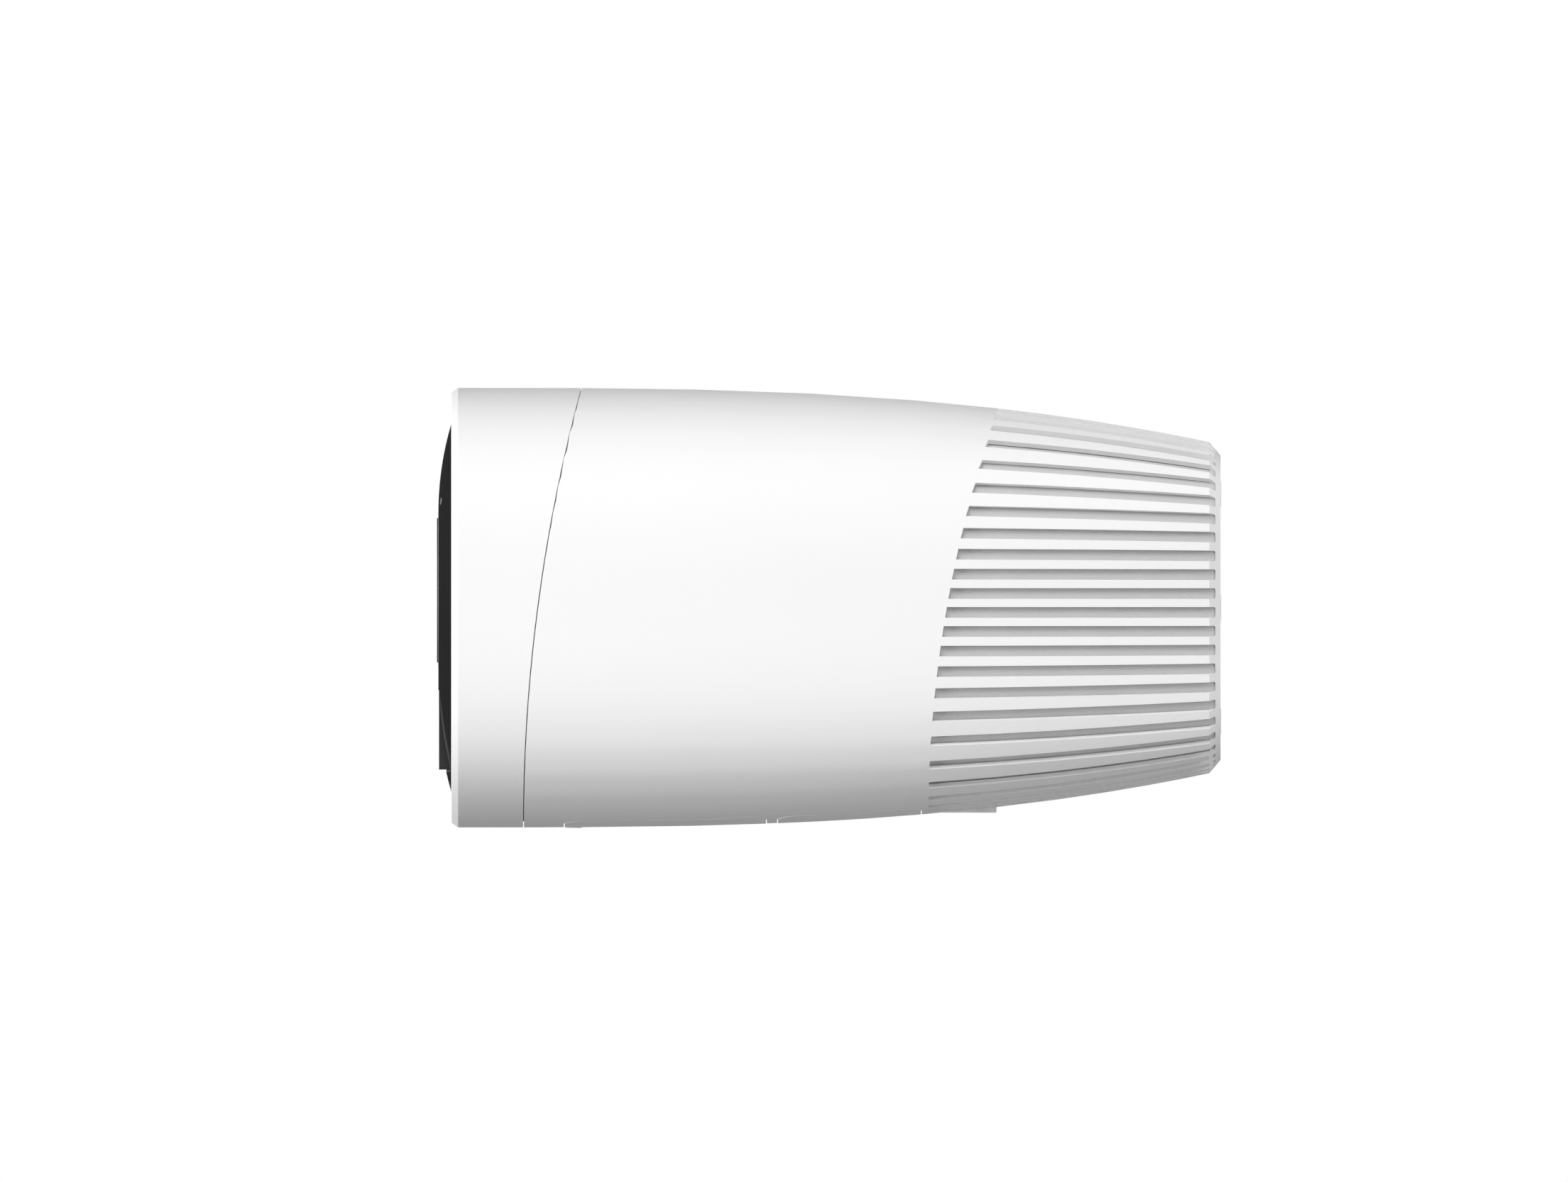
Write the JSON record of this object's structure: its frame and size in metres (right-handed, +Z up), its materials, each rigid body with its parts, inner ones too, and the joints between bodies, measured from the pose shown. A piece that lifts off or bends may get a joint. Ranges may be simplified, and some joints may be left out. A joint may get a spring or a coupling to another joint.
{
  "type": "air purifier",
  "caption": "Upright air purifier: rounded-square slotted body narrowing to the foot, domed dark top with a round control disc, service door and sensor cover behind.",
  "frame": {"origin": "on the floor, under the middle of the body", "axes": "+Z up, front of the purifier towards -Y, covers and mains inlet towards +Y, +X to the left seen from the front"},
  "size_m": [0.24, 0.2403, 0.4281],
  "materials": {
    "white_shell": "satin white moulded plastic",
    "gloss_black": "glossy near-black plastic",
    "matte_charcoal": "fine matte dark grey plastic",
    "diffuser": "milky light diffuser",
    "lens": "smoked clear lens",
    "steel": "zinc-plated steel",
    "circuit_board": "green solder mask",
    "grey_plastic": "light grey moulded plastic",
    "dark_plastic": "black moulded plastic",
    "mesh_lining": "fine pale grey mesh",
    "motor_can": "turned aluminium",
    "rubber": "soft pale grey rubber",
    "filter_cap": "blue moulded end cap",
    "filter_paper": "pleated white filter paper",
    "pull_tab": "orange woven ribbon"
  },
  "bodies": {
    "casing": {"main_body": "white_shell", "top_ring": "white_shell", "outlet_grille": "gloss_black", "hood_base": "matte_charcoal", "rear_hood": "matte_charcoal", "light_ring": "diffuser", "light_sensor": "lens", "disc_springs": "steel", "control_board": "circuit_board", "latch_spring": "steel", "electronics_tray": "grey_plastic", "power_board": "circuit_board", "board_screws": "steel", "sensor_module": "dark_plastic", "power_inlet": "white_shell", "inlet_socket": "dark_plastic", "inlet_pins": "steel", "prefilter_sleeve": "mesh_lining", "bulkhead": "grey_plastic", "intake_guard": "dark_plastic", "fan_housing": "grey_plastic", "motor_bracket": "grey_plastic", "motor_screws": "steel", "fan_motor": "motor_can", "filter_bottom_cap": "filter_cap", "filter_core": "grey_plastic", "filter_media": "filter_paper", "filter_top_cap": "filter_cap", "filter_gasket": "rubber", "filter_pull_tab": "pull_tab", "casing_screws": "steel"},
    "fan_wheel": {"motor_shaft": "steel", "impeller": "dark_plastic", "impeller_nut": "steel"},
    "disc": {"control_disc": "gloss_black"},
    "latch": {"door_latch": "white_shell"},
    "door": {"service_door": "white_shell"},
    "sensor_lid": {"sensor_cover": "white_shell"},
    "base": {"base_cover": "white_shell", "foot_pads": "rubber"}
  },
  "joints": [
    {"name": "fan_spin", "type": "hinge", "parent": "casing", "child": "fan_wheel", "pos_m": [0, 0, 0.215], "axis": [0, 0, 1], "continuous": true},
    {"name": "disc_press", "type": "slide", "parent": "casing", "child": "disc", "axis": [0, 0, -1], "range_m": [0, 0.0005], "stiffness_N_per_m": 2000, "deforming": ["disc_springs"]},
    {"name": "latch_press", "type": "slide", "parent": "casing", "child": "latch", "axis": [0, -1, 0], "range_m": [0, 0.0015], "stiffness_N_per_m": 800},
    {"name": "door_tilt", "type": "hinge", "parent": "casing", "child": "door", "pos_m": [0, 0.1177, 0.2484], "axis": [-1, 0, 0], "range_deg": [0, 40]},
    {"name": "sensor_cover_pull", "type": "slide", "parent": "casing", "child": "sensor_lid", "axis": [0, 1, 0], "range_m": [0, 0.03]},
    {"name": "base_twist", "type": "hinge", "parent": "casing", "child": "base", "pos_m": [0, 0, 0], "axis": [0, 0, 1], "range_deg": [0, 30]}
  ]
}
